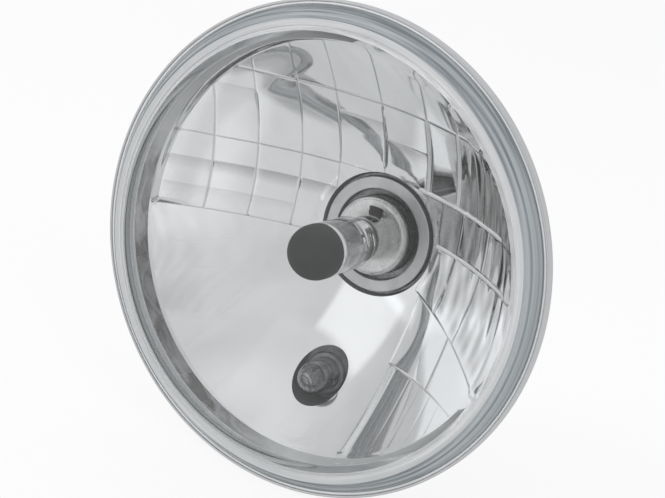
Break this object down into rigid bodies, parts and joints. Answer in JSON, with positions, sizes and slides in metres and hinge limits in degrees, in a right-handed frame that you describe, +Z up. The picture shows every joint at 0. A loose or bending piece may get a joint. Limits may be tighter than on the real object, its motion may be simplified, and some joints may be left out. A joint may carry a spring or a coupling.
{
  "type": "motorcycle headlight",
  "caption": "Round sealed headlamp insert with a clear glass lens, faceted reflector, twin-filament bulb, rear boot and a small position lamp.",
  "frame": {"origin": "centre of the steel rim's rear plane, on the lamp's optical axis", "axes": "-Y out through the lens, +Z up, +X to the right as seen from the front"},
  "size_m": [0.146, 0.0941, 0.146],
  "materials": {
    "lens_glass": "clear moulded glass, polished",
    "sealant": "light grey silicone",
    "mirror_steel": "vapour-coated aluminium on steel, bright inside",
    "plated_steel": "zinc plated",
    "spring_wire": "bright drawn wire",
    "bulb_metal": "satin plated sheet",
    "bulb_glass": "clear blown glass",
    "black_coat": "matte black coating",
    "tungsten": "dull grey wire",
    "shield_metal": "dull grey sheet",
    "lead_wire": "bright wire",
    "insulator_plastic": "moulded, matte",
    "terminal_metal": "tinned",
    "boot_rubber": "matte moulded rubber",
    "grommet_rubber": "matte moulded rubber",
    "holder_plastic": "moulded, satin"
  },
  "bodies": {
    "root": {"lens": "lens_glass", "lens_sealant": "sealant", "reflector": "mirror_steel", "bulb_seat_ring": "plated_steel", "seat_rivets": "plated_steel", "retaining_clip": "spring_wire", "bulb_flange": "bulb_metal", "bulb_sleeve": "bulb_metal", "bulb_glass": "bulb_glass", "bulb_black_cap": "black_coat", "low_beam_filament": "tungsten", "high_beam_filament": "tungsten", "low_beam_shield": "shield_metal", "lead_low": "lead_wire", "lead_high": "lead_wire", "lead_common": "lead_wire", "bulb_insulator": "insulator_plastic", "terminal_low": "terminal_metal", "terminal_high": "terminal_metal", "terminal_ground": "terminal_metal", "rubber_boot": "boot_rubber", "position_grommet": "grommet_rubber", "position_holder": "holder_plastic", "position_bulb_glass": "bulb_glass", "position_bulb_filament": "tungsten", "position_bulb_leads": "lead_wire", "position_contacts": "terminal_metal"}
  },
  "joints": []
}
